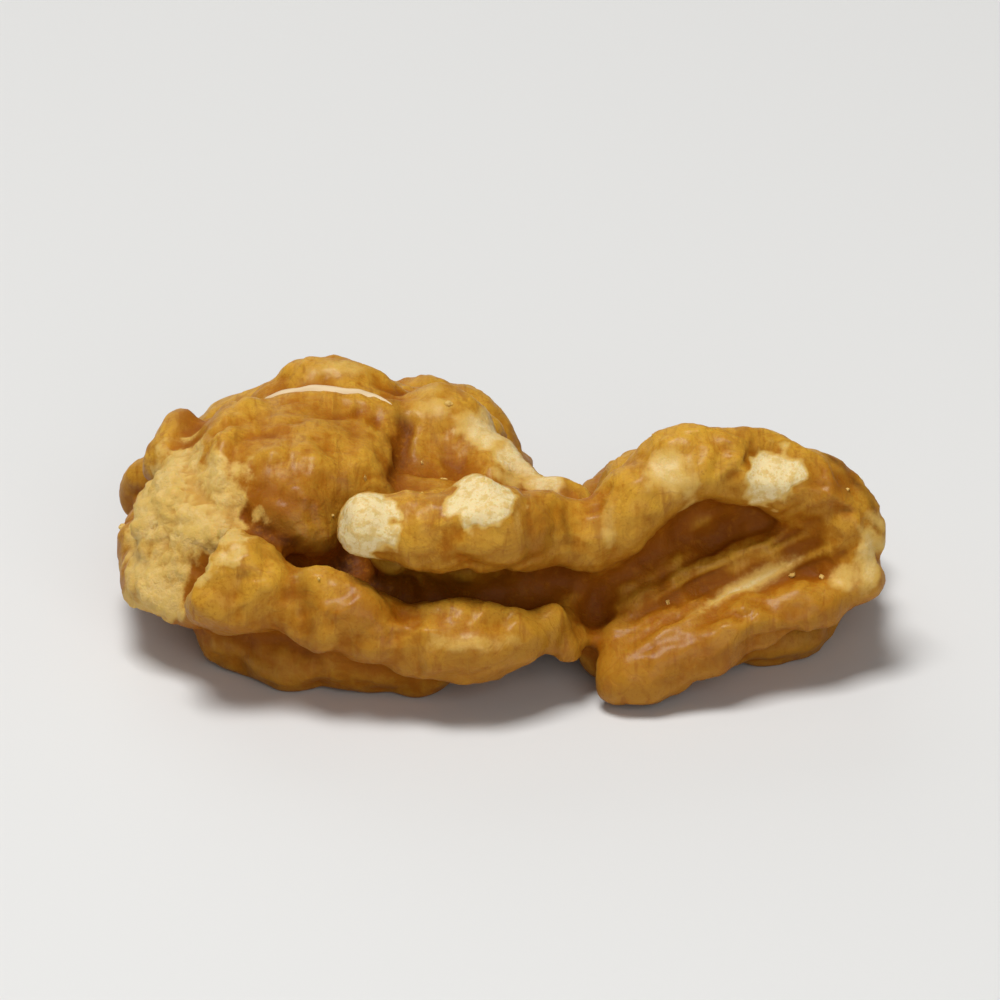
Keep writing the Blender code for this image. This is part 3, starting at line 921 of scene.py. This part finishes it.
# %% floor and light
FLOOR_PAPER = {"Base Color": (0.70, 0.697, 0.685, 1.0), "Roughness": 0.75}
FLOOR_SIZE = 1.5  # m, half of it
sheet = bmesh.new()
bmesh.ops.create_grid(sheet, x_segments=1, y_segments=1, size=FLOOR_SIZE)
floor_mesh = bpy.data.meshes.new("floor")
sheet.to_mesh(floor_mesh)
sheet.free()
floor = new_piece("floor", floor_mesh)
floor_mesh.materials.append(new_finish("floor_paper", FLOOR_PAPER)[0])

ROOM_COLOUR, ROOM_STRENGTH = (1.0, 0.99, 0.97, 1.0), 0.16
PANELS = {  # place in m, size in m, watts
    "top_panel": ((-0.07, -0.05, 0.42), 0.17, 1.60),
    "front_panel": ((0.12, -0.46, 0.22), 0.34, 0.78),
    "back_panel": ((-0.15, 0.45, 0.25), 0.40, 0.45),
}
for name, (at, size, watts) in PANELS.items():
    light = bpy.data.lights.new(name, "AREA")
    light.size = size
    light.energy = watts
    panel = bpy.data.objects.new(name, light)
    panel.location = at
    panel.rotation_euler = (-Vector(at)).to_track_quat("-Z", "Y").to_euler()
    bpy.context.scene.collection.objects.link(panel)
room = bpy.data.worlds.new("room")
room.use_nodes = True
room.node_tree.nodes["Background"].inputs["Color"].default_value = ROOM_COLOUR
room.node_tree.nodes["Background"].inputs["Strength"].default_value = ROOM_STRENGTH
bpy.context.scene.world = room
bpy.context.scene.view_settings.view_transform = "Standard"
print("panels:", len(PANELS), "watts in all:", round(sum(row[2] for row in PANELS.values()), 2))

# %% [markdown]
# The photograph looks at the nut from the front, 27 degrees above the table. A long lens from
# 80 cm keeps the folds' proportions as they are there.

# %% camera
DISTANCE = 0.80  # m
FRAME_WIDTH = 0.0445  # m across the picture, at the kernel
LOOK_AT = Vector((0.0, 0.0, 0.0045))
camera_data = bpy.data.cameras.new("camera")
camera_data.lens = camera_data.sensor_width * DISTANCE / FRAME_WIDTH
camera_data.clip_start = 0.01
camera = bpy.data.objects.new("camera", camera_data)
camera.location = LOOK_AT + DISTANCE * Vector((0, -math.cos(ELEVATION), math.sin(ELEVATION)))
camera.rotation_euler = (LOOK_AT - camera.location).to_track_quat("-Z", "Y").to_euler()
bpy.context.scene.collection.objects.link(camera)
bpy.context.scene.camera = camera
print("lens, mm:", round(camera_data.lens))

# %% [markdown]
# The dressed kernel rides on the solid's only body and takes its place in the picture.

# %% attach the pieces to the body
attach(walnut, "root")
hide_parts("kernel")
for piece in (skin_edge, crumbs):
    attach(piece, "root")
